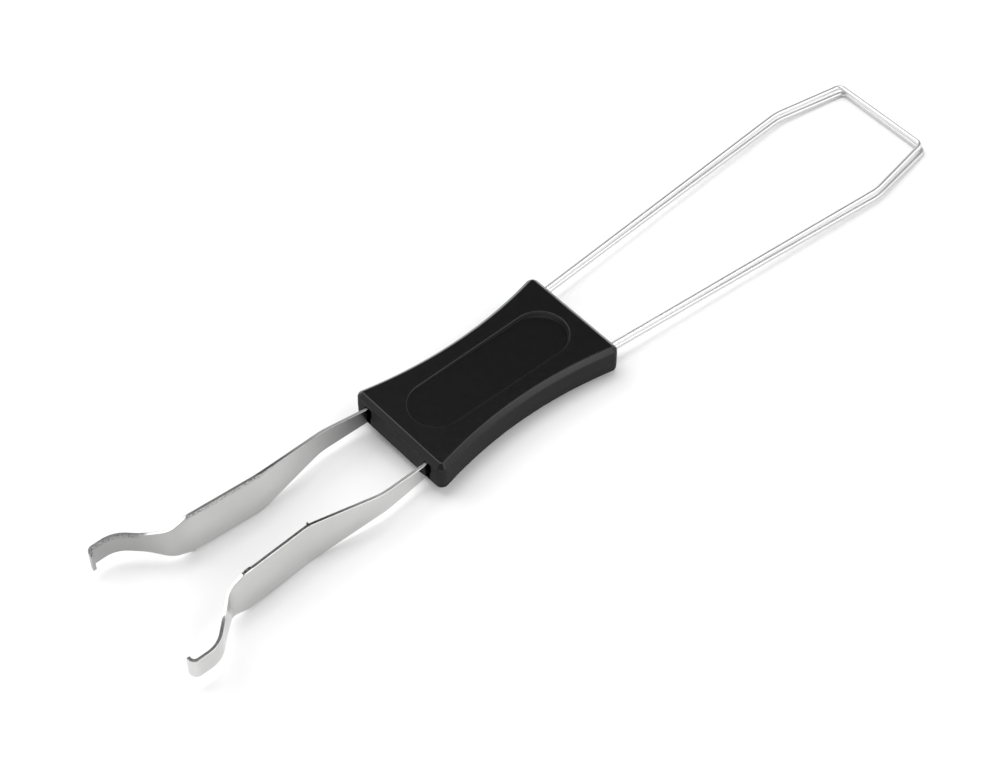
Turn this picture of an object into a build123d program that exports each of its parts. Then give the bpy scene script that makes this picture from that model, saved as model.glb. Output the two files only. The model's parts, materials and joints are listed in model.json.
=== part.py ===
"""A two-ended keycap puller: steel claws at one end of a plastic handle, wire loops at the other.

Everything is modelled about the handle: its parting plane is Z = 0, the claws reach towards -X and
the wire loops towards +X. The finished pieces are then laid down together as the puller comes to
rest, on the claws and the end of the loops, with the floor at Z = 0.
"""

import os
from math import atan, atan2, cos, degrees, radians, sin, tan

from build123d import *

# Handle, measured at the parting plane where it is largest
handle_length = 38.25
handle_end_width = 21.85
handle_waist_width = 17.0
handle_thickness = 5.95
corner_radius = 1.2
wall_draft = 0.8
edge_bevel = 0.85
seam_break = 0.012

# How the handle sits askew on the spring and the loops, by the play in its slots
handle_turn = 0.46
handle_turn_x = 9.0

# Thumb recess, a long oval whose floor slopes down towards the wires
recess_length = 31.2
recess_width = 9.3
recess_depth_at_claws = 0.15
recess_depth_at_wires = 0.75
recess_wall_slope = 25.0

# Pins that join the two halves of the handle
pin_diameter = 2.4
pin_height = 1.4
pin_spacing_along = 9.0
pin_spacing_across = 7.0
pins_towards_wires = 3.0
pin_clearance = 0.1

# Claw spring, a strip on edge bent to a U; distances ahead are from the handle's end face
strip_thickness = 0.6
claw_drop = 0.3
arm_spacing_at_handle = 14.6
arm_depth_in_handle = 8.7
bight_bend_radius = 3.0
entry_bend_radius = 12.0
bow_ahead = 9.0
bow_spacing = 15.9
bow_bend_radius = 14.0
plate_ahead = 22.3
plate_spacing = 12.7
plate_bend_radius = 12.0
plate_length = 13.0
flare_ahead = 38.5
flare_spacing = 14.7
flare_bend_radius = 3.0
flare_run = 6.35
tip_spacing = 27.0
tip_bend_radius = 5.0
tip_run = 4.65
lip_bend_radius = 0.9
lip_length = 1.3

# Height of the strip along each claw
neck_height = 3.0
neck_rise = 0.2
neck_taper_ahead = 10.0
neck_taper_height = 4.7
neck_bend_radius = 10.0
plate_height = 8.9
plate_corner_radius = 0.5
tip_taper_run = 6.2
tip_taper_radius = 4.0
tip_height = 4.05

# Slots for the claws in the handle
strip_clearance = 0.3
mouth_width = 3.2
mouth_height = 2.4
mouth_depth = 2.0
mouth_corner_radius = 0.7

# Wire loops, measured to the middle of the wire; distances behind are from the handle's end face
wire_diameter = 0.9
wire_gap = 0.06
wire_clearance = 0.25
wire_rise = 0.35
leg_spacing_at_handle = 16.1
shoulder_behind = 58.7
shoulder_spacing = 24.5
shoulder_bend_radius = 9.0
loop_end_behind = 72.7
loop_end_width = 19.5
loop_corner_radius = 1.2
hook_depth = 3.5
hook_length = 4.5
loop_lean = 0.33
loop_droop = 0.3

# How far cutting shapes reach past what they cut
cutter_margin = 1.0

half_thickness = handle_thickness / 2
claw_face_x = -handle_length / 2
wire_face_x = handle_length / 2
bight_x = claw_face_x + arm_depth_in_handle
plate_x = claw_face_x - plate_ahead
flare_x = claw_face_x - flare_ahead
tip_x = flare_x - flare_run - tip_run
hook_x = wire_face_x - hook_depth
loop_end_x = wire_face_x + loop_end_behind


def mirrored(points):
    """A run of points on the +Y side, carried on through its mirror image on the -Y side."""
    return points + [(x, -y) for x, y in reversed(points)]


def strip_along(path, thickness, height):
    """A strip on edge, of one thickness and height, that follows a flat path."""
    start = Plane(path @ 0, x_dir=(0, 0, 1), z_dir=path % 0)
    return sweep(start * Rectangle(height, thickness), path=path, transition=Transition.RIGHT)


def handle_half():
    """One half of the handle above the parting plane, drafted, bevelled and rounded, with no inside."""
    end_x = handle_length / 2
    end_y = handle_end_width / 2
    waist_y = handle_waist_width / 2
    outline = Curve() + [
        ThreePointArc((-end_x, -end_y), (0, -waist_y), (end_x, -end_y)),
        Line((end_x, -end_y), (end_x, end_y)),
        ThreePointArc((end_x, end_y), (0, waist_y), (-end_x, end_y)),
        Line((-end_x, end_y), (-end_x, -end_y)),
    ]
    half = extrude(make_face(outline), half_thickness, dir=(0, 0, 1), taper=wall_draft)
    upright = half.edges().filter_by(lambda edge: edge.bounding_box().size.Z > half_thickness / 2)
    half = fillet(upright, corner_radius)
    half = chamfer(half.faces().sort_by(Axis.Z)[-1].edges(), edge_bevel)
    return chamfer(half.faces().sort_by(Axis.Z)[0].edges(), seam_break)


def thumb_recess():
    """Cutter for the long oval recess, with a sloping floor and walls that lean outwards."""
    middle_depth = (recess_depth_at_claws + recess_depth_at_wires) / 2
    slope = atan2(recess_depth_at_wires - recess_depth_at_claws, recess_length)
    floor = Plane(
        (0, 0, half_thickness - middle_depth),
        x_dir=(cos(slope), 0, -sin(slope)),
        z_dir=(sin(slope), 0, cos(slope)),
    )
    reach = recess_depth_at_wires + cutter_margin
    return extrude(floor * SlotOverall(recess_length, recess_width), reach, taper=-recess_wall_slope)


def claw_slots():
    """Cutter for the U-shaped groove round the spring and the wide mouths that its arms leave by."""
    arm_y = arm_spacing_at_handle / 2
    height = neck_height + 2 * strip_clearance
    path = FilletPolyline(
        *mirrored([(claw_face_x - cutter_margin, arm_y), (bight_x, arm_y)]),
        radius=bight_bend_radius,
    )
    slots = strip_along(path, strip_thickness + 2 * strip_clearance, height)
    outline = RectangleRounded(mouth_width, mouth_height, mouth_corner_radius)
    mouth = extrude(Plane.YZ * outline, mouth_depth + cutter_margin)
    for side in (-1, 1):
        slots += Pos(claw_face_x - cutter_margin, side * arm_y, (height - mouth_height) / 2) * mouth
    return Pos(0, 0, neck_rise - claw_drop) * slots


def leg_y(behind):
    """Half the spacing of the loop's straight legs at a distance behind the handle's end face."""
    spread = (shoulder_spacing - leg_spacing_at_handle) / 2
    return leg_spacing_at_handle / 2 + spread * behind / shoulder_behind


def wire_grooves():
    """Cutter for the grooves that hold the hooked ends of both wires across the parting plane."""
    width = wire_diameter + 2 * wire_clearance
    height = 2 * (wire_diameter + wire_clearance) + wire_gap
    corner_y = leg_y(-hook_depth)
    route = [
        (hook_x, corner_y - hook_length - wire_clearance),
        (hook_x, corner_y),
        (wire_face_x + cutter_margin, leg_y(cutter_margin)),
    ]
    groove = strip_along(Polyline(*route), width, height)
    return Pos(0, 0, wire_rise) * (groove + mirror(groove, about=Plane.XZ))


def pins(clearance):
    """The joining pins, or with a clearance the sockets that they go into."""
    spots = GridLocations(pin_spacing_along, pin_spacing_across, 2, 2)
    height = pin_height + clearance + cutter_margin
    pin = Cylinder(pin_diameter / 2 + clearance, height, align=(Align.CENTER, Align.CENTER, Align.MIN))
    return [Pos(pins_towards_wires, 0, -cutter_margin) * spot * pin for spot in spots]


def claw_spring():
    """The strip bent to its plan, cut to the height that the blank has along each claw."""
    plan = FilletPolyline(
        *mirrored(
            [
                (tip_x, tip_spacing / 2 - lip_length),
                (tip_x, tip_spacing / 2),
                (flare_x - flare_run, tip_spacing / 2),
                (flare_x, flare_spacing / 2),
                (plate_x, plate_spacing / 2),
                (claw_face_x - bow_ahead, bow_spacing / 2),
                (claw_face_x, arm_spacing_at_handle / 2),
                (bight_x, arm_spacing_at_handle / 2),
            ]
        ),
        radius=bends_there_and_back(),
    )
    strip = strip_along(plan, strip_thickness, plate_height + cutter_margin)
    return Pos(0, 0, -claw_drop) * (strip & blank_heights())


def bends_there_and_back():
    """Bend radii of the spring's plan, from one lip to the other."""
    one_side = [
        lip_bend_radius,
        tip_bend_radius,
        flare_bend_radius,
        plate_bend_radius,
        bow_bend_radius,
        entry_bend_radius,
        bight_bend_radius,
    ]
    return one_side + one_side[::-1]


def blank_edge(side):
    """The blank's upper (1) or lower (-1) edge seen from the side, from inside the handle to the tip."""
    plate_front_x = plate_x - plate_length
    neck_z = neck_rise + side * neck_height / 2
    plate_z = side * plate_height / 2
    tip_z = side * tip_height / 2
    return FilletPolyline(
        (bight_x + cutter_margin, neck_z),
        (claw_face_x, neck_z),
        (claw_face_x - neck_taper_ahead, neck_rise + side * neck_taper_height / 2),
        (plate_x, plate_z),
        (plate_front_x, plate_z),
        (plate_front_x - tip_taper_run, tip_z),
        (tip_x - cutter_margin, tip_z),
        radius=[neck_bend_radius, neck_bend_radius, plate_corner_radius, plate_corner_radius, tip_taper_radius],
    )


def blank_heights():
    """The blank's outline seen from the side, as a slab across both claws."""
    upper_edge = blank_edge(1)
    lower_edge = blank_edge(-1)
    ends = [Line(upper_edge @ 0, lower_edge @ 0), Line(upper_edge @ 1, lower_edge @ 1)]
    side_view = make_face(Curve() + [upper_edge, lower_edge] + ends)
    return extrude(Plane.XZ * side_view, tip_spacing, both=True)


def wire_loop():
    """One wire: sharply hooked inside the handle, out along a leg, round the loop and back the same way."""
    corner_y = leg_y(-hook_depth)
    path = FilletPolyline(
        *mirrored(
            [
                (hook_x, corner_y - hook_length),
                (hook_x, corner_y),
                (wire_face_x + shoulder_behind, shoulder_spacing / 2),
                (loop_end_x, loop_end_width / 2),
            ]
        ),
        radius=[0, shoulder_bend_radius, loop_corner_radius, loop_corner_radius, shoulder_bend_radius, 0],
    )
    section = Plane(path @ 0, z_dir=path % 0) * Circle(wire_diameter / 2)
    return sweep(section, path=path, transition=Transition.RIGHT)


def turned(lean, x, droop=0):
    """A turn in plan, and one down towards the wires, about a point on the middle line."""
    return Pos(x, 0, 0) * Rotation(0, droop, lean) * Pos(-x, 0, 0)


def at_rest():
    """How the puller lies: the claws' plates and the loops or the handle's far edge on the floor."""
    plate_z = -claw_drop - plate_height / 2
    loop_z = wire_rise - wire_gap / 2 - wire_diameter - loop_end_behind * tan(radians(loop_droop))
    loop_slope = (loop_z - plate_z) / (loop_end_x - plate_x)
    foot_x = wire_face_x - half_thickness * tan(radians(wall_draft)) - edge_bevel
    handle_slope = (-half_thickness - plate_z) / (foot_x - plate_x)
    return Rotation(0, degrees(atan(min(loop_slope, handle_slope))), 0)


half = handle_half()
hollows = [claw_slots(), wire_grooves()]
askew = turned(handle_turn, handle_turn_x)
stack = (wire_diameter + wire_gap) / 2
loop = wire_loop()

pieces = {
    "handle_upper_half": askew * (half - [thumb_recess()] - hollows - pins(pin_clearance)),
    "handle_lower_half": askew * (mirror(half, about=Plane.XY) - hollows + pins(0)),
    "claw_spring": claw_spring(),
    "upper_wire_loop": Pos(0, 0, wire_rise + stack) * turned(loop_lean, wire_face_x, loop_droop) * loop,
    "lower_wire_loop": Pos(0, 0, wire_rise - stack) * turned(-loop_lean, wire_face_x, loop_droop) * loop,
}

laid_down = {name: at_rest() * piece for name, piece in pieces.items()}
box = Compound(list(laid_down.values())).bounding_box()
bottom_middle = Pos(-box.center().X, -box.center().Y, -box.min.Z)

os.makedirs("parts", exist_ok=True)
for name, piece in laid_down.items():
    export_step(bottom_middle * piece, f"parts/{name}.step")
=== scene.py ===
"""A keycap puller, dressed: a satin black handle, nickelled claws and bright wire loops on a pale floor."""

import json
from math import radians

import bmesh
import bpy
from mathutils import Matrix, Vector


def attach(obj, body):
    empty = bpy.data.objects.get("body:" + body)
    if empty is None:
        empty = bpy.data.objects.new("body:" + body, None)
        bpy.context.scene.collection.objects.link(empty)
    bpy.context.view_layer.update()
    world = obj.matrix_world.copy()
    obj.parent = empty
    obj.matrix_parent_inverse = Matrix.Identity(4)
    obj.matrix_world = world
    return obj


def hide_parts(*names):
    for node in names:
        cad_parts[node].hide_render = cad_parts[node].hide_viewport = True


bl_info = {
    "name": "Keycap Puller",
    "version": (1, 0, 0),
    "blender": (4, 5, 0),
    "location": "View3D > Sidebar > Puller",
    "description": "Dresses the keycap puller's solids and sets the stage for its picture",
    "category": "Object",
}

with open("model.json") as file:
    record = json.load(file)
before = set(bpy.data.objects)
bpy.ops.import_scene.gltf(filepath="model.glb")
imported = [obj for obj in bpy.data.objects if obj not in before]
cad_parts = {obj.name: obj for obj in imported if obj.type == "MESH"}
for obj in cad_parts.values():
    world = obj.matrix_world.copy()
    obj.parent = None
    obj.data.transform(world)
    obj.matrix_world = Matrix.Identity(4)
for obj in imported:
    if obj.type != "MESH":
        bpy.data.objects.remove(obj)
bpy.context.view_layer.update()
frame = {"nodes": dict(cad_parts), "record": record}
BODY = "root"
X_AXIS = Vector((1, 0, 0))
Y_AXIS = Vector((0, 1, 0))
UNDERSIDE = frame["record"]["mounts"][0]
HANDLE_UP = -Vector(UNDERSIDE["axis"])

# Copies of the solids: how close corners are joined, and the lean within which faces are one flat
JOINED_WITHIN = 1e-7
FLAT_WITHIN = radians(0.3)

# Rounded edges: steps across each, the profile of a round one, and the turn up to which faces are shaded
# as one
ROUNDING_STEPS = 3
ROUND_PROFILE = 0.5
SMOOTH_UP_TO = radians(40)

# Parting line of the handle: its height above the underside, and the band about it that isn't rounded
SEAM_HEIGHT = 0.002975
SEAM_BAND = (0.0015, 0.0045)

# Lean of the handle's faces, from 0 for an upright wall to 1 for the flat top or underside
WALL_LEAN = 0.2
BROW_BEVEL_LEAN = (0.6, 0.8)
CREST_BEVEL_LEAN = (0.6, 0.97)
FLAT_LEAN = 0.98
RECESS_WALL_LEAN = (0.3, 0.55)

# Slots round the claws: half their spacing, how far the askew handle carries them, and half their width
CLAW_ARM = 0.0073
SLOT_CARRIED = -0.000225
SLOT_HALF = 0.0006

# Mouths of the slots: where they end inside, a place within them, how far beyond the slots their sides
# may lie, and the share of that distance that each side keeps
MOUTH_END = -0.0285
MOUTH_MIDDLE = -0.0298
MOUTH_STEP = 0.0011
MOUTH_SIDES_KEPT = ((1, 0.10), (-1, 0.30))

# Bottoms of the mouths: how far beside the claws they reach, their heights above the handle's underside,
# and the share of their depth under the parting line that is kept
MOUTH_REACH = 0.00165
MOUTH_BOTTOM = (0.00220, 0.00294)
MOUTH_DEPTH_KEPT = 0.08

# Middle of a noise's range, where it leaves a roughness as it is
NOISE_MIDDLE = 0.5

# Plastic: how nearly level a face is where the walls' finish begins to fade and where it is gone, the faint
# mottle, the strength of the grain, and the refraction
WALL_FACING = (0.15, 0.55)
MOTTLE_SIZE = 0.0011
MOTTLE_SHADES = (0.8, 1.2)
MOTTLE_ROUGHNESS = 0.05
GRAIN_STRENGTH = 0.5
PLASTIC_IOR = 1.45

# Steel: streaks of the rolling mill, broad clouding, the speckle of a torn edge, and the relief of both
STREAK_SIZE = 0.00025
STREAK_STRETCH = (0.04, 1, 1)
STREAK_ROUGHNESS = 0.06
CLOUD_SIZE = 0.004
CLOUD_SHADE = 0.90
SPECKLE_SIZE = 0.00022
TORN_SPECKLE = (0.45, 0.62)
TORN_RELIEF = 3.0
STEEL_RELIEF = 0.000004
RELIEF_STRENGTH = 0.6

# Edges of the claws to round: how nearly the sheared edge and the face beside it face up or down where the
# punch rolled them over, and the turn from which any other edge is sharp
ROLLED_EDGE_FACING = 0.6
ROLLED_FACE_FACING = 0.3
SHARP_TURN = radians(50)

# Sheared edges of the claws: how nearly they face up or down, where they brighten towards the handle, and
# how much they do all along the left claw
SHEARED_FACING = (0.94, 0.985)
BRIGHT_NECK = (-0.052, -0.040)
LEFT_EDGE_SHINE = 0.10

# Stretches of the left claw where the band under its upper edge is worn, and the length that masks fade over
WORN_PLATE = (-0.0660, -0.0400)
WORN_TIP = (-0.0820, -0.0735)
FADE_LENGTH = 0.001

# Painted shade on the left claw, standing for dark reflections of the shade by the handle and in front of its
# tip: where it darkens towards the handle and towards its tip, and how far it darkens
PAINTED_SHADE_NECK = (-0.052, -0.028)
PAINTED_SHADE_TIP = (-0.074, -0.064)
NECK_SHADE_DEPTH = 0.90
TIP_SHADE_DEPTH = 0.52

# Burrs on the claws' sheared edges: place along the claw, side, length, and how far each is drawn out
PLATE_REAR = -0.0530
PLATE_NEAR_FRONT = -0.0650
PLATE_FRONT = -0.0660
BURRS = (
    (PLATE_REAR, -1, 0.00040, (-0.00005, 0.00012, 0.00050)),
    (PLATE_NEAR_FRONT, -1, 0.00150, (0.0, 0.00010, 0.00028)),
    (PLATE_FRONT, -1, 0.00035, (0.0, 0.00005, 0.00030)),
    (PLATE_FRONT, 1, 0.00050, (0.0, -0.00005, 0.00025)),
    (PLATE_FRONT, 1, 0.00040, (0.0, -0.00005, -0.00025)),
)

# Form of the burrs: the share of their width that is left at the end, how nearly the faces that they are
# drawn from face up or down, and the heights above the claws over which they darken
BURR_TAPER = 0.6
BURR_FACING = 0.95
BURR_DARKENS = (0.00002, 0.00006)

# Faint lines that the drawing die left along the wire
DRAWN_SIZE = 0.00030
DRAWN_STRETCH = (0.05, 1, 1)
DRAWN_ROUGHNESS = 0.06

# Floor: how dull it is, and how much it shines
FLOOR_ROUGHNESS = 0.8
FLOOR_SHINE = 0.1

# Lights, with their places as they lie in the picture: to the right, to the back and up
LEFT_LIGHT_PLACE = (-0.48, 0.28, 0.60)
LEFT_LIGHT_SIZE = (0.75, 0.50)
OVERHEAD_LIGHT_PLACE = (-0.10, 0.16, 1.0)
OVERHEAD_LIGHT_SIZE = (0.80, 0.40)

# Camera: the width of its sensor in millimetres, and the nearest distance that it sees
SENSOR_WIDTH = 36
NEAREST_SEEN = 0.01

# Room, with places as for the lights: how nearly a direction points at each part of it where the part's soft
# rim begins and where it ends
SCREEN_PLACE = (0.88, -0.10, 0.47)
SCREEN_RIM = (0.80, 0.95)
CORNER_PLACE = (0.0, 0.62, 0.784)
CORNER_RIM = (0.88, 0.96)
OVERHEAD = (0.0, 0.0, 1.0)
ABOVE_RIM = (0.38, 0.60)


class Value:
    """A socket in a finish, with arithmetic that adds Math nodes."""

    def __init__(self, finish, socket):
        self.finish = finish
        self.socket = socket

    def __add__(self, other):
        return self.finish.math("ADD", self, other)

    def __radd__(self, other):
        return self.finish.math("ADD", other, self)

    def __sub__(self, other):
        return self.finish.math("SUBTRACT", self, other)

    def __rsub__(self, other):
        return self.finish.math("SUBTRACT", other, self)

    def __mul__(self, other):
        return self.finish.math("MULTIPLY", self, other)

    def __rmul__(self, other):
        return self.finish.math("MULTIPLY", other, self)

    def __abs__(self):
        return self.finish.math("ABSOLUTE", self)


class Finish:
    """A procedural material round one shader, on Object coordinates."""

    def __init__(self, name, kind=bpy.data.materials):
        self.material = kind.new(name)
        self.material.use_nodes = True
        self.tree = self.material.node_tree
        self.output = next(node for node in self.tree.nodes if node.bl_idname.startswith("ShaderNodeOutput"))
        self.shader = self.output.inputs["Surface"].links[0].from_node

    def shown(self):
        """What the shader sends on."""
        return Value(self, self.shader.outputs[0])

    def node(self, kind, settings=None, inputs=None, output=0):
        """Adds a node of a kind, makes its settings, then sets or links its sockets."""
        node = self.tree.nodes.new(kind)
        for name, setting in (settings or {}).items():
            setattr(node, name, setting)
        for name, value in (inputs or {}).items():
            self.feed(node.inputs[name], value)
        return Value(self, node.outputs[output])

    def feed(self, socket, value):
        """Links a value to a socket, or sets the socket to a constant."""
        if isinstance(value, Value):
            self.tree.links.new(value.socket, socket)
        else:
            socket.default_value = value

    def math(self, operation, *values):
        return self.node("ShaderNodeMath", {"operation": operation}, dict(enumerate(values)))

    def dot(self, first, second):
        """How far one direction or place lies along another."""
        return self.node("ShaderNodeVectorMath", {"operation": "DOT_PRODUCT"}, {0: first, 1: second}, "Value")

    def place(self, stretch=(1, 1, 1)):
        """Object coordinates, stretched along each axis."""
        coords = self.node("ShaderNodeTexCoord", output="Object")
        return self.node("ShaderNodeMapping", inputs={"Vector": coords, "Scale": stretch})

    def noise(self, size, detail=2.0, roughness=0.5, stretch=(1, 1, 1)):
        """Soft noise from 0 to 1, with features of about a size in metres."""
        inputs = {"Vector": self.place(stretch), "Scale": 1 / size, "Detail": detail, "Roughness": roughness}
        return self.node("ShaderNodeTexNoise", inputs=inputs)

    def ease(self, value, low, high):
        """A mask that rises smoothly from 0 at low to 1 at high."""
        inputs = {"Value": value, "From Min": low, "From Max": high}
        return self.node("ShaderNodeMapRange", {"interpolation_type": "SMOOTHSTEP"}, inputs)

    def blend(self, mask, first, second):
        """A colour that goes from the first to the second as the mask rises."""
        inputs = {0: mask, 6: first, 7: second}
        return self.node("ShaderNodeMix", {"data_type": "RGBA"}, inputs, output=2)

    def along(self, axis):
        """How far along an axis a place is, in Object coordinates."""
        return self.dot(self.place(), axis)

    def facing_up(self):
        """How nearly the surface faces straight up or down, from 0 to 1."""
        direction = self.node("ShaderNodeNewGeometry", output="Normal")
        return abs(self.node("ShaderNodeSeparateXYZ", inputs={0: direction}, output="Z"))

    def bump(self, height, depth, strength):
        return self.node("ShaderNodeBump", inputs={"Height": height, "Distance": depth, "Strength": strength})

    def set(self, **sockets):
        """Sets or links the shader's sockets, each named with underscores for spaces."""
        for name, value in sockets.items():
            self.feed(self.shader.inputs[name.replace("_", " ")], value)
        return self.material


def grey(level):
    return (level, level, level, 1.0)


def shade(colour, factor):
    """A colour made darker or lighter by a factor."""
    return [channel * factor for channel in colour[:3]] + [1]


class HandleSettings(bpy.types.PropertyGroup):
    """Moulded black plastic."""

    colour: bpy.props.FloatVectorProperty(
        name="Colour", description="Colour of the plastic", subtype="COLOR", size=4, min=0, max=1,
        default=(0.0042, 0.0042, 0.0043, 1.0))
    roughness: bpy.props.FloatProperty(
        name="Roughness", description="How satin the top and the bevels are", default=0.24, min=0, max=1,
        subtype="FACTOR")
    wall_roughness: bpy.props.FloatProperty(
        name="Wall roughness", description="How dull the walls are", default=0.80, min=0, max=1,
        subtype="FACTOR")
    brow_radius: bpy.props.FloatProperty(
        name="Brow", description="Rounding between the walls and the bevels", default=0.00015,
        unit="LENGTH", precision=6)
    crest_radius: bpy.props.FloatProperty(
        name="Crest", description="Rounding between the bevels and the flats", default=0.00014,
        unit="LENGTH", precision=6)
    lip_radius: bpy.props.FloatProperty(
        name="Lip", description="Rounding round the thumb recess", default=0.00010,
        unit="LENGTH", precision=6)
    grain_size: bpy.props.FloatProperty(
        name="Grain size", description="Size of the moulded grain", default=0.00040,
        unit="LENGTH", precision=6)
    grain_depth: bpy.props.FloatProperty(
        name="Grain depth", description="Depth of the moulded grain", default=0.000004,
        unit="LENGTH", precision=6)


class ClawSettings(bpy.types.PropertyGroup):
    """Nickelled spring steel."""

    colour: bpy.props.FloatVectorProperty(
        name="Colour", description="Colour of the rolled faces", subtype="COLOR", size=4, min=0, max=1,
        default=(0.66, 0.66, 0.655, 1.0))
    edge_colour: bpy.props.FloatVectorProperty(
        name="Edge colour", description="Colour of the sheared edges", subtype="COLOR", size=4, min=0, max=1,
        default=(0.16, 0.16, 0.16, 1.0))
    torn_colour: bpy.props.FloatVectorProperty(
        name="Torn colour", description="Colour of torn spots and burrs", subtype="COLOR", size=4,
        min=0, max=1, default=(0.05, 0.05, 0.05, 1.0))
    # Painted shade: the dark colour of the left claw's stretches towards the handle and its tip, standing for
    # reflected shade
    painted_shade_colour: bpy.props.FloatVectorProperty(
        name="Painted shade colour", description="Colour of the left claw's dull stretches", subtype="COLOR",
        size=4, min=0, max=1, default=(0.12, 0.12, 0.12, 1.0))
    roughness: bpy.props.FloatProperty(
        name="Roughness", description="How satin the rolled faces are", default=0.11, min=0, max=1,
        subtype="FACTOR")
    edge_roughness: bpy.props.FloatProperty(
        name="Edge roughness", description="How torn the sheared edges are", default=0.35, min=0, max=1,
        subtype="FACTOR")
    rolled_radius: bpy.props.FloatProperty(
        name="Rolled edge", description="Rounding where the punch rolled the edge over", default=0.00012,
        unit="LENGTH", precision=6)
    burr_radius: bpy.props.FloatProperty(
        name="Burr edge", description="Rounding on the burr side of the edge", default=0.00008,
        unit="LENGTH", precision=6)
    worn_width: bpy.props.FloatProperty(
        name="Worn band", description="Width of the worn band under the left claw's upper edge",
        default=0.00100, unit="LENGTH", precision=6)


class WireSettings(bpy.types.PropertyGroup):
    """Bright drawn wire."""

    colour: bpy.props.FloatVectorProperty(
        name="Colour", description="Colour of the upper loop", subtype="COLOR", size=4, min=0, max=1,
        default=(0.82, 0.82, 0.82, 1.0))
    # Painted shade: the lower loop gets a darker copy of the same plating, standing for the shade that the
    # upper loop casts on it
    lower_painted_shade_colour: bpy.props.FloatVectorProperty(
        name="Lower shaded colour", description="Colour of the lower loop, which is duller", subtype="COLOR", size=4,
        min=0, max=1, default=(0.66, 0.66, 0.66, 1.0))
    roughness: bpy.props.FloatProperty(
        name="Roughness", description="How blurred the wire's shine is", default=0.29, min=0, max=1,
        subtype="FACTOR")


class StageSettings(bpy.types.PropertyGroup):
    """Floor, lights and camera."""

    floor_size: bpy.props.FloatProperty(
        name="Floor size", description="Side of the square floor", default=4.0, unit="LENGTH")
    floor_colour: bpy.props.FloatVectorProperty(
        name="Floor colour", description="Colour of the floor", subtype="COLOR", size=4, min=0, max=1,
        default=(0.97, 0.97, 0.97, 1.0))
    floor_glow: bpy.props.FloatProperty(
        name="Floor white", description="Plain white that the floor adds to what it shows", default=0.03,
        min=0, max=1, subtype="FACTOR")
    room_level: bpy.props.FloatProperty(
        name="Room", description="Brightness of the room all round", default=0.30, min=0)
    room_low: bpy.props.FloatProperty(
        name="Room below", description="Brightness of the room near the floor", default=0.85, min=0)
    room_right: bpy.props.FloatProperty(
        name="Room right", description="Brightness of the pale screen on the right", default=2.9, min=0)
    room_dark: bpy.props.FloatProperty(
        name="Dark corner", description="Brightness of the dark corner high at the back", default=0.05, min=0)
    left_power: bpy.props.FloatProperty(
        name="Left light", description="Power of the soft light on the left", default=2.6, unit="POWER")
    overhead_power: bpy.props.FloatProperty(
        name="Overhead light", description="Power of the soft light overhead", default=4.0, unit="POWER")
    camera_place: bpy.props.FloatVectorProperty(
        name="Camera place", description="Where the camera stands", subtype="TRANSLATION", unit="LENGTH",
        default=(-0.167813, -0.193278, 0.314179))
    camera_turn: bpy.props.FloatVectorProperty(
        name="Camera turn", description="How the camera is turned", subtype="EULER", unit="ROTATION",
        default=(radians(38.3935), radians(1.2498), radians(-40.9404)))
    camera_lens: bpy.props.FloatProperty(
        name="Camera lens", description="Focal length on a 36 mm sensor", default=88.83, unit="CAMERA")


def wear(piece, material):
    """Gives a piece one finish all over."""
    piece.data.materials.clear()
    piece.data.materials.append(material)


def copy_of(node, name):
    """A copy of a CAD piece as one joined-up mesh, with its flat faces whole."""
    bpy.ops.object.select_all(action="DESELECT")
    source = frame["nodes"][node]
    source.select_set(True)
    bpy.context.view_layer.objects.active = source
    bpy.ops.object.duplicate()
    piece = bpy.context.object
    piece.name = name
    for key in list(piece.keys()):
        del piece[key]
    bpy.ops.object.mode_set(mode="EDIT")
    bpy.ops.mesh.select_all(action="SELECT")
    bpy.ops.mesh.remove_doubles(threshold=JOINED_WITHIN)
    bpy.ops.mesh.customdata_custom_splitnormals_clear()
    bpy.ops.mesh.dissolve_limited(angle_limit=FLAT_WITHIN)
    bpy.ops.object.mode_set(mode="OBJECT")
    return piece


def open_mesh(piece, kind):
    """Opens a piece for editing by its corners, edges or faces, with none of them selected."""
    bpy.ops.object.mode_set(mode="EDIT")
    bpy.ops.mesh.select_mode(type=kind)
    bpy.ops.mesh.select_all(action="DESELECT")
    return bmesh.from_edit_mesh(piece.data)


def squeeze(piece, wanted, factors, centre):
    """Squeezes the corners whose places are wanted towards a centre, by a factor along each axis."""
    mesh = open_mesh(piece, "VERT")
    for vertex in mesh.verts:
        vertex.select_set(wanted(vertex.co))
    mesh.select_flush_mode()
    bmesh.update_edit_mesh(piece.data)
    bpy.ops.transform.resize(value=factors, center_override=centre)
    bpy.ops.object.mode_set(mode="OBJECT")


def round_edges(piece, wanted, width):
    """Bevels the outer edges whose middle and two face normals are wanted."""
    mesh = open_mesh(piece, "EDGE")
    count = 0
    for edge in mesh.edges:
        if edge.is_convex:
            middle = (edge.verts[0].co + edge.verts[1].co) / 2
            if wanted(middle, *(face.normal for face in edge.link_faces)):
                edge.select_set(True)
                count += 1
    bmesh.update_edit_mesh(piece.data)
    if not count:
        raise RuntimeError("no edge of %s was found to round" % piece.name)
    bpy.ops.mesh.bevel(
        offset=width, segments=ROUNDING_STEPS, affect="EDGES", profile=ROUND_PROFILE, clamp_overlap=False)
    bpy.ops.object.mode_set(mode="OBJECT")


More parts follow.
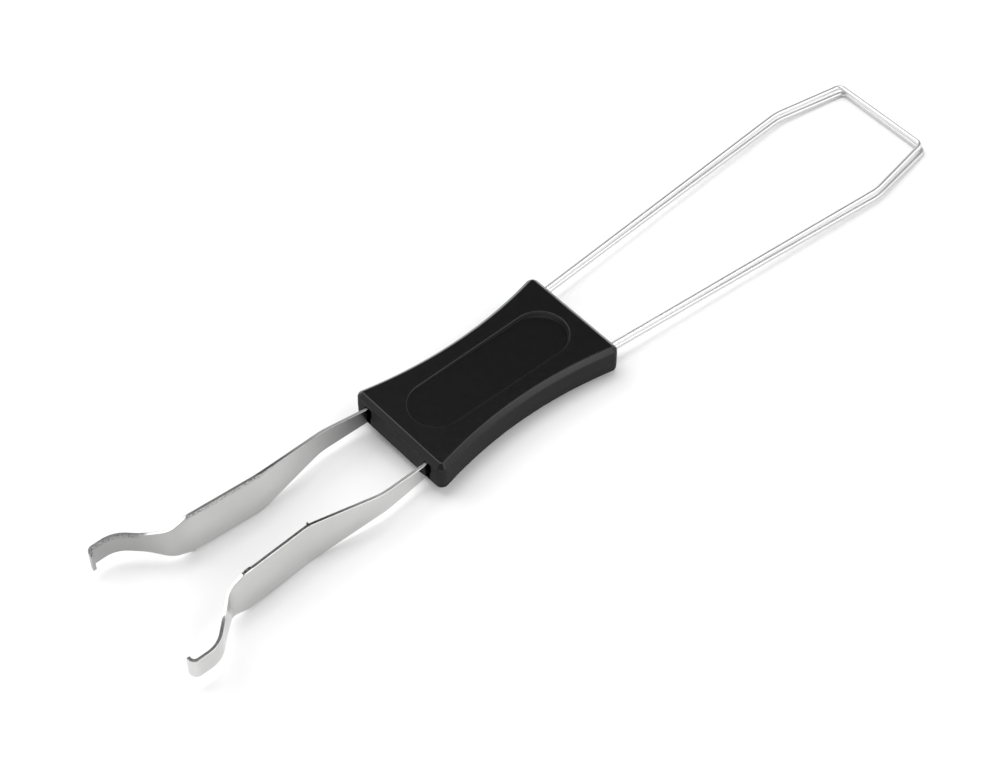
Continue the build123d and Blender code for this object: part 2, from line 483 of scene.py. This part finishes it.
def raise_burr(piece, x, side, length, lift):
    """Draws up a stretch of a claw's sheared edge, narrowed as it rises, into a burr that the shears left."""
    open_mesh(piece, "FACE")
    for cut in (x - length / 2, x + length / 2):
        bpy.ops.mesh.select_all(action="SELECT")
        bpy.ops.mesh.bisect(plane_co=(cut, 0, 0), plane_no=(1, 0, 0))
    mesh = open_mesh(piece, "FACE")
    for face in mesh.faces:
        middle = face.calc_center_median()
        if abs(middle.x - x) < length / 2 and middle.y * side > 0 and face.normal.z * lift[2] > 0:
            face.select_set(abs(face.normal.z) > BURR_FACING)
    bmesh.update_edit_mesh(piece.data)
    bpy.ops.mesh.extrude_region_move(TRANSFORM_OT_translate={"value": lift})
    bpy.ops.transform.resize(value=(BURR_TAPER, BURR_TAPER, 1))
    bpy.ops.object.mode_set(mode="OBJECT")


def smooth(piece):
    """Shades a piece smooth, with its flats kept flat."""
    bpy.ops.object.shade_smooth_by_angle(angle=SMOOTH_UP_TO)
    piece.modifiers.new("flats", "WEIGHTED_NORMAL").keep_sharp = True
    bpy.ops.object.modifier_apply(modifier="flats")


def stand_for(piece, node):
    """Puts a piece in the place of a CAD node."""
    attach(piece, BODY)
    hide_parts(node)


class PULLER_OT_handle(bpy.types.Operator):
    """Give the two halves of the handle their moulded plastic"""

    bl_idname = "puller.handle"
    bl_label = "Dress the handle"

    def execute(self, context):
        look = context.scene.puller_handle
        material = self.plastic(look)
        for node in ("handle_upper_half", "handle_lower_half"):
            piece = copy_of(node, node.replace("handle", "moulded"))
            self.narrow_mouths(piece)
            if node == "handle_lower_half":
                self.raise_mouths(piece)
            round_edges(piece, self.is_brow, look.brow_radius)
            round_edges(piece, self.is_crest, look.crest_radius)
            if node == "handle_upper_half":
                round_edges(piece, self.is_lip, look.lip_radius)
            smooth(piece)
            wear(piece, material)
            stand_for(piece, node)
        return {"FINISHED"}

    @staticmethod
    def plastic(look):
        """Satin black plastic with a fine grain, faintly mottled, and dull on the walls."""
        finish = Finish("satin_black_plastic")
        mottle = finish.noise(MOTTLE_SIZE, detail=3)
        grain = finish.noise(look.grain_size)
        wall = 1 - finish.ease(finish.facing_up(), *WALL_FACING)
        roughness = look.roughness + (look.wall_roughness - look.roughness) * wall
        return finish.set(
            Base_Color=finish.blend(mottle, *(shade(look.colour, factor) for factor in MOTTLE_SHADES)),
            Roughness=roughness + MOTTLE_ROUGHNESS * (mottle - NOISE_MIDDLE),
            IOR=PLASTIC_IOR,
            Normal=finish.bump(grain, look.grain_depth, GRAIN_STRENGTH),
        )

    def narrow_mouths(self, piece):
        """Draws the sides of each mouth in to the slot that it opens into."""
        for arm in (-CLAW_ARM, CLAW_ARM):
            for side, kept in MOUTH_SIDES_KEPT:
                self.narrow_side(piece, side, arm + SLOT_CARRIED + side * SLOT_HALF, kept)

    @staticmethod
    def narrow_side(piece, side, slot_y, kept):
        """Draws one side of a mouth in to the same side of its slot."""
        def beyond_slot(place):
            """Whether a place is in the mouth, beyond the slot on this side."""
            return place.x < MOUTH_END and 0 < side * (place.y - slot_y) < MOUTH_STEP

        squeeze(piece, beyond_slot, (1, kept, 1), (MOUTH_MIDDLE, slot_y, 0))

    def raise_mouths(self, piece):
        """Brings the bottom of each mouth, which lies in the lower half, up to the parting line."""
        def at_bottom(place):
            """Whether a place is in a mouth, under the parting line."""
            beside = min(abs(place.y - arm) for arm in (-CLAW_ARM, CLAW_ARM))
            low = MOUTH_BOTTOM[0] < self.height(place) < MOUTH_BOTTOM[1]
            return place.x < MOUTH_END and beside < MOUTH_REACH and low

        seam_z = (SEAM_HEIGHT - self.height(Vector((MOUTH_MIDDLE, 0, 0)))) / HANDLE_UP.z
        squeeze(piece, at_bottom, (1, 1, MOUTH_DEPTH_KEPT), (MOUTH_MIDDLE, 0, seam_z))

    @staticmethod
    def height(place):
        """How far a place lies above the handle's underside."""
        return (place - Vector(UNDERSIDE["pos_m"])).dot(HANDLE_UP)

    @staticmethod
    def leans(first, second):
        """How far two faces lean to the handle's top or underside, the steeper first."""
        return sorted(abs(normal.dot(HANDLE_UP)) for normal in (first, second))

    def at_seam(self, middle):
        """Whether a place is half way up the handle, about its parting line."""
        return SEAM_BAND[0] < self.height(middle) < SEAM_BAND[1]

    def is_brow(self, middle, first, second):
        """The edges between the bevels and the walls."""
        wall, bevel = self.leans(first, second)
        bevelled = BROW_BEVEL_LEAN[0] < bevel < BROW_BEVEL_LEAN[1]
        return wall < WALL_LEAN and bevelled and not self.at_seam(middle)

    def is_crest(self, middle, first, second):
        """The edges between the bevels and the flat top or underside."""
        bevel, flat = self.leans(first, second)
        bevelled = CREST_BEVEL_LEAN[0] < bevel < CREST_BEVEL_LEAN[1]
        return bevelled and flat > FLAT_LEAN and not self.at_seam(middle)

    def is_lip(self, middle, first, second):
        """The rim of the thumb recess, between its leaning wall and the flat top."""
        wall, flat = self.leans(first, second)
        return RECESS_WALL_LEAN[0] < wall < RECESS_WALL_LEAN[1] and flat > FLAT_LEAN


class PULLER_OT_claws(bpy.types.Operator):
    """Give the claw spring its rolled faces and sheared edges"""

    bl_idname = "puller.claws"
    bl_label = "Dress the claws"

    def execute(self, context):
        look = context.scene.puller_claws
        piece = copy_of("claw_spring", "sprung_claws")
        material = self.steel(look, piece)
        round_edges(piece, self.is_rolled, look.rolled_radius)
        round_edges(piece, self.is_sharp, look.burr_radius)
        for burr in BURRS:
            raise_burr(piece, *burr)
        smooth(piece)
        wear(piece, material)
        stand_for(piece, "claw_spring")
        return {"FINISHED"}

    def steel(self, look, piece):
        """Nickelled steel with satin rolled faces and dark, torn edges."""
        finish = Finish("nickelled_steel")
        edge = finish.ease(finish.facing_up(), *SHEARED_FACING)
        left = finish.ease(finish.along(Y_AXIS), 0.0, FADE_LENGTH)
        streaks = finish.noise(STREAK_SIZE, detail=3, roughness=0.6, stretch=STREAK_STRETCH)
        speckle = finish.noise(SPECKLE_SIZE, detail=3, roughness=0.7)
        torn = finish.ease(speckle, *TORN_SPECKLE)
        face_colour = self.face_colour(finish, look, piece, left, torn)
        edge_colour = self.edge_colour(finish, look, left, torn)
        roughness = look.roughness + STREAK_ROUGHNESS * (streaks - NOISE_MIDDLE)
        relief = streaks * (1 - edge) + TORN_RELIEF * speckle * edge
        return finish.set(
            Base_Color=finish.blend(edge, face_colour, edge_colour),
            Metallic=1.0,
            Roughness=roughness * (1 - edge) + look.edge_roughness * edge,
            Normal=finish.bump(relief, STEEL_RELIEF, RELIEF_STRENGTH),
        )

    @staticmethod
    def face_colour(finish, look, piece, left, torn):
        """Colour of the faces: clouded, worn and darkened by painted shade on the left claw, dark on the
        right's burrs.
        """
        x = finish.along(X_AXIS)
        height = finish.along(HANDLE_UP)
        worn = 0.0
        for first_x, last_x in (WORN_PLATE, WORN_TIP):
            crown = max(v.co.dot(HANDLE_UP) for v in piece.data.vertices if first_x < v.co.x < last_x)
            stretch = finish.ease(x, first_x - FADE_LENGTH, first_x)
            stretch = stretch * (1 - finish.ease(x, last_x, last_x + FADE_LENGTH))
            worn = worn + stretch * finish.ease(height, crown - look.worn_width, crown)
        crown = max(v.co.dot(HANDLE_UP) for v in piece.data.vertices)
        burr = finish.ease(height, *(crown + rise for rise in BURR_DARKENS))
        # Painted shade: the left claw darkens towards the handle and towards its tip, standing for
        # reflections of shade
        painted_shade = NECK_SHADE_DEPTH * finish.ease(x, *PAINTED_SHADE_NECK) + TIP_SHADE_DEPTH * (1 - finish.ease(x, *PAINTED_SHADE_TIP))
        cloud = finish.noise(CLOUD_SIZE, detail=3)
        colour = finish.blend(cloud, shade(look.colour, CLOUD_SHADE), look.colour)
        colour = finish.blend(painted_shade * left, colour, look.painted_shade_colour)
        colour = finish.blend(worn * torn * left, colour, look.torn_colour)
        return finish.blend(burr * (1 - left), colour, look.torn_colour)

    @staticmethod
    def edge_colour(finish, look, left, torn):
        """Colour of the sheared edges: dark, torn in spots, and brighter towards the handle."""
        bright = finish.ease(finish.along(X_AXIS), *BRIGHT_NECK)
        colour = finish.blend(torn, look.edge_colour, look.torn_colour)
        colour = finish.blend(LEFT_EDGE_SHINE * left, colour, look.colour)
        return finish.blend(bright, colour, look.colour)

    @staticmethod
    def is_rolled(middle, first, second):
        """The edges of the claws' outer faces, which the punch met first."""
        face, edge = sorted((first, second), key=lambda normal: abs(normal.z))
        outer = face.y * middle.y > 0
        return abs(edge.z) > ROLLED_EDGE_FACING and abs(face.z) < ROLLED_FACE_FACING and outer

    @staticmethod
    def is_sharp(middle, first, second):
        """The other edges left by the shears."""
        return first.angle(second) > SHARP_TURN


class PULLER_OT_wires(bpy.types.Operator):
    """Give the wire loops their bright plating"""

    bl_idname = "puller.wires"
    bl_label = "Dress the wires"

    def execute(self, context):
        look = context.scene.puller_wires
        bright = self.plating("bright_plated_wire", look.colour, look.roughness)
        # Painted shade: the lower loop wears a darker copy of the plating, for the shade under the upper loop
        dull = self.plating("painted_shade_plated_wire", look.lower_painted_shade_colour, look.roughness)
        wear(frame["nodes"]["upper_wire_loop"], bright)
        wear(frame["nodes"]["lower_wire_loop"], dull)
        return {"FINISHED"}

    @staticmethod
    def plating(name, colour, roughness):
        """Plated wire with faint lines from the drawing die."""
        finish = Finish(name)
        drawn = finish.noise(DRAWN_SIZE, roughness=0.6, stretch=DRAWN_STRETCH)
        return finish.set(
            Base_Color=colour,
            Metallic=1.0,
            Roughness=roughness + DRAWN_ROUGHNESS * (drawn - NOISE_MIDDLE),
        )


class PULLER_OT_stage(bpy.types.Operator):
    """Set out the pale floor, the soft lights and the camera"""

    bl_idname = "puller.stage"
    bl_label = "Set the stage"

    def execute(self, context):
        stage = context.scene.puller_stage
        bpy.ops.object.select_all(action="DESELECT")
        bpy.ops.mesh.primitive_plane_add(size=stage.floor_size, location=(0, 0, 0))
        floor = context.object
        floor.name = "floor"
        floor.data.materials.append(self.pale_floor(stage))
        left = self.seen(stage, *LEFT_LIGHT_PLACE)
        overhead = self.seen(stage, *OVERHEAD_LIGHT_PLACE)
        self.soft_light("left_light", left, *LEFT_LIGHT_SIZE, stage.left_power)
        self.soft_light("overhead_light", overhead, *OVERHEAD_LIGHT_SIZE, stage.overhead_power)
        context.scene.world = self.room(stage)
        bpy.ops.object.camera_add(location=stage.camera_place, rotation=stage.camera_turn)
        camera = context.object
        camera.data.sensor_width = SENSOR_WIDTH
        camera.data.lens = stage.camera_lens
        camera.data.clip_start = NEAREST_SEEN
        context.scene.camera = camera
        context.scene.view_settings.view_transform = "Standard"
        return {"FINISHED"}

    @staticmethod
    def pale_floor(stage):
        """A pale finish that adds a little white where it is seen, straight or in a reflection."""
        finish = Finish("pale_floor")
        finish.set(Base_Color=stage.floor_colour, Roughness=FLOOR_ROUGHNESS, Specular_IOR_Level=FLOOR_SHINE)
        rays = ("Is Camera Ray", "Is Glossy Ray", "Is Transmission Ray")
        straight, reflected, through = (finish.node("ShaderNodeLightPath", output=ray) for ray in rays)
        share = stage.floor_glow * finish.math("MINIMUM", straight + reflected + through, 1.0)
        glow = finish.node("ShaderNodeEmission", inputs={"Color": grey(1.0), "Strength": share})
        shown = finish.node("ShaderNodeAddShader", inputs={0: finish.shown(), 1: glow})
        finish.feed(finish.output.inputs["Surface"], shown)
        return finish.material

    @staticmethod
    def seen(stage, right, back, up):
        """A place or direction given as it lies in the picture: to the right, to the back and up."""
        return Matrix.Rotation(stage.camera_turn[2], 3, "Z") @ Vector((right, back, up))

    def room(self, stage):
        """A plain room: pale near the floor and on the right, with a dark corner high at the back."""
        finish = Finish("room", bpy.data.worlds)
        direction = finish.node("ShaderNodeTexCoord", output="Generated")

        def part(place, rim):
            """A mask of the directions that point at a place in the picture, with a soft rim."""
            aim = self.seen(stage, *place).normalized()
            return finish.ease(finish.dot(direction, aim), *rim)

        screen = part(SCREEN_PLACE, SCREEN_RIM)
        corner = part(CORNER_PLACE, CORNER_RIM)
        above = part(OVERHEAD, ABOVE_RIM)
        colour = finish.blend(screen, grey(stage.room_level), grey(stage.room_right))
        colour = finish.blend(corner, colour, grey(stage.room_dark))
        colour = finish.blend(above, grey(stage.room_low), colour)
        return finish.set(Color=colour)

    @staticmethod
    def soft_light(name, place, width, height, power):
        """A rectangular soft light that faces the puller."""
        turn = (-place).to_track_quat("-Z", "Y").to_euler()
        bpy.ops.object.light_add(type="AREA", location=place, rotation=turn)
        lamp = bpy.context.object
        lamp.name = name
        lamp.data.shape = "RECTANGLE"
        lamp.data.size = width
        lamp.data.size_y = height
        lamp.data.energy = power


class PULLER_PT_panel(bpy.types.Panel):
    """Lists the steps and their settings"""

    bl_idname = "PULLER_PT_panel"
    bl_label = "Keycap Puller"
    bl_space_type = "VIEW_3D"
    bl_region_type = "UI"
    bl_category = "Puller"

    def draw(self, context):
        for step, name, settings in STEPS:
            box = self.layout.box()
            box.operator(step.bl_idname)
            for setting in settings.__annotations__:
                box.prop(getattr(context.scene, name), setting)


# Each step's operator, the name that the scene keeps its settings under, and their group
STEPS = (
    (PULLER_OT_handle, "puller_handle", HandleSettings),
    (PULLER_OT_claws, "puller_claws", ClawSettings),
    (PULLER_OT_wires, "puller_wires", WireSettings),
    (PULLER_OT_stage, "puller_stage", StageSettings),
)


def register():
    for step, name, settings in STEPS:
        bpy.utils.register_class(settings)
        setattr(bpy.types.Scene, name, bpy.props.PointerProperty(type=settings))
        bpy.utils.register_class(step)
    bpy.utils.register_class(PULLER_PT_panel)


def unregister():
    bpy.utils.unregister_class(PULLER_PT_panel)
    for step, name, settings in reversed(STEPS):
        bpy.utils.unregister_class(step)
        delattr(bpy.types.Scene, name)
        bpy.utils.unregister_class(settings)


def main():
    register()
    bpy.ops.puller.handle()
    bpy.ops.puller.claws()
    bpy.ops.puller.wires()
    bpy.ops.puller.stage()


if __name__ == "__main__":
    main()
